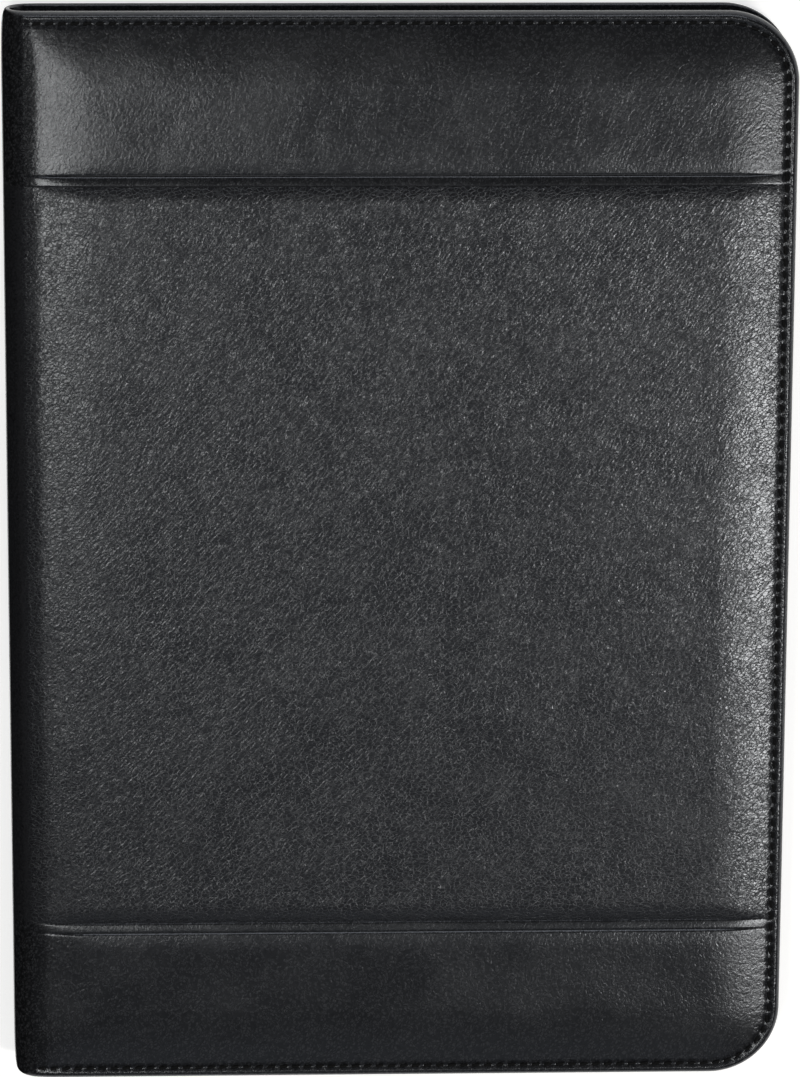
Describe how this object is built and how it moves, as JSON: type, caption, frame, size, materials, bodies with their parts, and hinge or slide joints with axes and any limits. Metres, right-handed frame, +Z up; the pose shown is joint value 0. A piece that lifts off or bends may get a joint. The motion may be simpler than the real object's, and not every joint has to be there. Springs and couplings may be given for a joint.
{
  "type": "zippered padfolio",
  "caption": "A4 zip-round padfolio in padded black leather with a pebbled centre panel, smooth end bands, writing pad, pockets and pen loop.",
  "frame": {"origin": "middle of the back cover's resting face, with the padfolio closed and lying on its back cover", "axes": "+X from the spine to the fore edge, +Y to the top edge, +Z up through the front cover"},
  "size_m": [0.2416, 0.338, 0.025],
  "materials": {
    "smooth_leather": "smooth black leather with hairline creases, semi-gloss",
    "pebbled_leather": "black pebble-grain leather, satin",
    "welt_leather": "folded smooth black leather strip, semi-gloss",
    "foam": "grey padding foam",
    "board": "grey bookbinder's board",
    "lining": "black woven lining",
    "pocket_cloth": "black woven pocket cloth",
    "pad_card": "grey-brown backing card",
    "paper": "white ruled writing paper",
    "header_tape": "black paper binding tape",
    "zip_tape": "black woven zip tape",
    "zip_teeth": "black moulded zip teeth",
    "zip_metal": "dark nickel plating"
  },
  "bodies": {
    "back_cover": {"back_top_band": "smooth_leather", "back_center_panel": "pebbled_leather", "back_bottom_band": "smooth_leather", "back_upper_welt": "welt_leather", "back_lower_welt": "welt_leather", "back_foam": "foam", "back_board": "board", "back_lining": "lining", "pad_card": "pad_card", "paper_block": "paper", "pad_header": "header_tape", "pad_sleeve": "pocket_cloth", "pad_sleeve_hem": "pocket_cloth", "pen_loop": "smooth_leather", "back_zip_tape": "zip_tape", "back_zip_teeth": "zip_teeth", "back_zip_stops": "zip_metal"},
    "spine": {"spine_top_band": "smooth_leather", "spine_center_panel": "pebbled_leather", "spine_bottom_band": "smooth_leather", "spine_upper_welt": "welt_leather", "spine_lower_welt": "welt_leather", "spine_board": "board", "spine_lining": "lining", "back_fold_leather": "pebbled_leather", "front_fold_leather": "pebbled_leather", "back_fold_lining": "lining", "front_fold_lining": "lining"},
    "front_cover": {"front_top_band": "smooth_leather", "front_center_panel": "pebbled_leather", "front_bottom_band": "smooth_leather", "front_upper_welt": "welt_leather", "front_lower_welt": "welt_leather", "front_foam": "foam", "front_board": "board", "front_lining": "lining", "front_zip_tape": "zip_tape", "front_zip_teeth": "zip_teeth", "front_zip_stop": "zip_metal", "document_pocket": "pocket_cloth", "document_pocket_hem": "pocket_cloth", "upper_card_pocket": "pocket_cloth", "upper_card_hem": "pocket_cloth", "lower_card_pocket": "pocket_cloth", "lower_card_hem": "pocket_cloth"},
    "slider": {"slider_body": "zip_metal", "slider_bridge": "zip_metal"},
    "pull": {"pull_tab": "zip_metal"}
  },
  "joints": [
    {"name": "spine_hinge", "type": "hinge", "parent": "back_cover", "child": "spine", "pos_m": [-0.11925, 0, 0.0015], "axis": [0, -1, 0], "range_deg": [0, 90], "deforming": ["back_fold_leather", "back_fold_lining"]},
    {"name": "cover_hinge", "type": "hinge", "parent": "spine", "child": "front_cover", "pos_m": [-0.11925, 0, 0.0235], "axis": [0, -1, 0], "range_deg": [0, 90], "deforming": ["front_fold_leather", "front_fold_lining"]},
    {"name": "slider_travel", "type": "slide", "parent": "back_cover", "child": "slider", "axis": [1, 0, 0], "range_m": [0, 0.1968]},
    {"name": "pull_swing", "type": "hinge", "parent": "slider", "child": "pull", "pos_m": [-0.10425, -0.1665, 0.0125], "axis": [0, 0, -1], "range_deg": [0, 150]}
  ]
}
